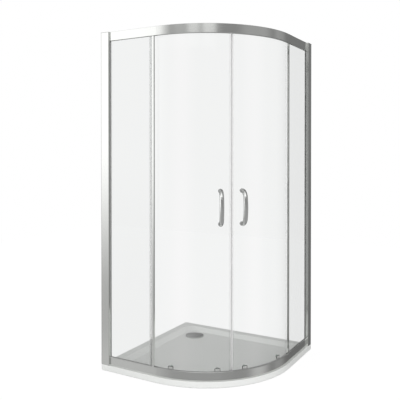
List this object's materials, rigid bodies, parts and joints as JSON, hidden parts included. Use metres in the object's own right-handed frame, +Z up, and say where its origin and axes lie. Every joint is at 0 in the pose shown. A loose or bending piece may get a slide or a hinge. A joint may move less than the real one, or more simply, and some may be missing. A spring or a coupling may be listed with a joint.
{
  "type": "corner shower enclosure",
  "caption": "Quadrant corner shower enclosure on a low tray, with flat fixed glass panels, curved sliding glass doors on rollers, bow handles, bent rails and wall profiles.",
  "frame": {"origin": "on the floor, at the centre of the square that the tray fills", "axes": "+Z up; the walls are at -X and +Y, and the curved front with the doors faces between +X and -Y"},
  "size_m": [0.9, 0.9, 1.866],
  "materials": {
    "tray": "white acrylic over resin, satin",
    "polished_aluminium": "bright polished, chrome look",
    "mill_aluminium": "satin anodised",
    "chrome": "polished",
    "steel": "plain",
    "glass": "clear toughened, six millimetres",
    "clear_seal": "translucent soft vinyl",
    "gasket": "matt",
    "grey_plastic": "moulded",
    "white_plastic": "moulded nylon"
  },
  "bodies": {
    "enclosure": {"shower_tray": "tray", "waste_seal": "gasket", "waste_flange": "chrome", "waste_cover": "chrome", "bottom_rail": "polished_aluminium", "top_rail": "polished_aluminium", "rail_infills": "grey_plastic", "door_stops": "gasket", "left_wall_channel": "mill_aluminium", "left_panel_profile": "polished_aluminium", "left_profile_screws": "steel", "left_profile_cap": "grey_plastic", "left_fixed_glass": "glass", "left_setting_blocks": "white_plastic", "left_glass_gaskets": "gasket", "left_jamb_profile": "polished_aluminium", "left_jamb_seal": "clear_seal", "right_wall_channel": "mill_aluminium", "right_panel_profile": "polished_aluminium", "right_profile_screws": "steel", "right_profile_cap": "grey_plastic", "right_fixed_glass": "glass", "right_setting_blocks": "white_plastic", "right_glass_gaskets": "gasket", "right_jamb_profile": "polished_aluminium", "right_jamb_seal": "clear_seal"},
    "left_door": {"left_door_glass": "glass", "left_magnet_seal": "clear_seal", "left_edge_seal": "clear_seal", "left_bottom_seal": "clear_seal", "left_handle": "chrome", "left_handle_washers": "clear_seal", "left_handle_screws": "chrome", "left_top_axles": "steel", "left_bottom_arms": "chrome", "left_roller_bushes": "white_plastic", "left_roller_caps": "chrome"},
    "left_top_wheel_near": {"left_top_wheel_near": "white_plastic"},
    "left_top_wheel_far": {"left_top_wheel_far": "white_plastic"},
    "left_bottom_wheel_near": {"left_bottom_wheel_near": "white_plastic"},
    "left_bottom_wheel_far": {"left_bottom_wheel_far": "white_plastic"},
    "right_door": {"right_door_glass": "glass", "right_magnet_seal": "clear_seal", "right_edge_seal": "clear_seal", "right_bottom_seal": "clear_seal", "right_handle": "chrome", "right_handle_washers": "clear_seal", "right_handle_screws": "chrome", "right_top_axles": "steel", "right_bottom_arms": "chrome", "right_roller_bushes": "white_plastic", "right_roller_caps": "chrome"},
    "right_top_wheel_near": {"right_top_wheel_near": "white_plastic"},
    "right_top_wheel_far": {"right_top_wheel_far": "white_plastic"},
    "right_bottom_wheel_near": {"right_bottom_wheel_near": "white_plastic"},
    "right_bottom_wheel_far": {"right_bottom_wheel_far": "white_plastic"}
  },
  "joints": [
    {"name": "left_door_travel", "type": "hinge", "parent": "enclosure", "child": "left_door", "pos_m": [-0.12411, 0.18988, 0], "axis": [0, 0, -1], "range_deg": [0, 19.1]},
    {"name": "left_top_wheel_near_spin", "type": "hinge", "parent": "left_door", "child": "left_top_wheel_near", "pos_m": [0.2182, -0.32758, 1.8441], "axis": [0.5938, -0.8046, 0], "range_deg": [0, 1189]},
    {"name": "left_top_wheel_far_spin", "type": "hinge", "parent": "left_door", "child": "left_top_wheel_far", "pos_m": [-0.01732, -0.42389, 1.8441], "axis": [0.14, -0.9901, 0], "range_deg": [0, 1195]},
    {"name": "left_bottom_wheel_near_spin", "type": "hinge", "parent": "left_door", "child": "left_bottom_wheel_near", "pos_m": [0.2182, -0.32758, 0.0517], "axis": [0.5938, -0.8046, 0], "range_deg": [-1320, 0]},
    {"name": "left_bottom_wheel_far_spin", "type": "hinge", "parent": "left_door", "child": "left_bottom_wheel_far", "pos_m": [-0.01732, -0.42389, 0.0517], "axis": [0.14, -0.9901, 0], "range_deg": [-1327, 0]},
    {"name": "right_door_travel", "type": "hinge", "parent": "enclosure", "child": "right_door", "pos_m": [-0.18988, 0.12411, 0], "axis": [0, 0, 1], "range_deg": [0, 19.1]},
    {"name": "right_top_wheel_near_spin", "type": "hinge", "parent": "right_door", "child": "right_top_wheel_near", "pos_m": [0.32758, -0.2182, 1.8441], "axis": [0.8046, -0.5938, 0], "range_deg": [-1189, 0]},
    {"name": "right_top_wheel_far_spin", "type": "hinge", "parent": "right_door", "child": "right_top_wheel_far", "pos_m": [0.42389, 0.01732, 1.8441], "axis": [0.9901, -0.14, 0], "range_deg": [-1195, 0]},
    {"name": "right_bottom_wheel_near_spin", "type": "hinge", "parent": "right_door", "child": "right_bottom_wheel_near", "pos_m": [0.32758, -0.2182, 0.0517], "axis": [0.8046, -0.5938, 0], "range_deg": [0, 1320]},
    {"name": "right_bottom_wheel_far_spin", "type": "hinge", "parent": "right_door", "child": "right_bottom_wheel_far", "pos_m": [0.42389, 0.01732, 0.0517], "axis": [0.9901, -0.14, 0], "range_deg": [0, 1327]}
  ],
  "couplings": [
    {"joint": "left_top_wheel_near_spin", "follows": "left_door_travel", "ratio": 61.962},
    {"joint": "left_top_wheel_far_spin", "follows": "left_door_travel", "ratio": 62.267},
    {"joint": "left_bottom_wheel_near_spin", "follows": "left_door_travel", "ratio": -68.846},
    {"joint": "left_bottom_wheel_far_spin", "follows": "left_door_travel", "ratio": -69.186},
    {"joint": "right_top_wheel_near_spin", "follows": "right_door_travel", "ratio": -61.962},
    {"joint": "right_top_wheel_far_spin", "follows": "right_door_travel", "ratio": -62.267},
    {"joint": "right_bottom_wheel_near_spin", "follows": "right_door_travel", "ratio": 68.846},
    {"joint": "right_bottom_wheel_far_spin", "follows": "right_door_travel", "ratio": 69.186}
  ]
}
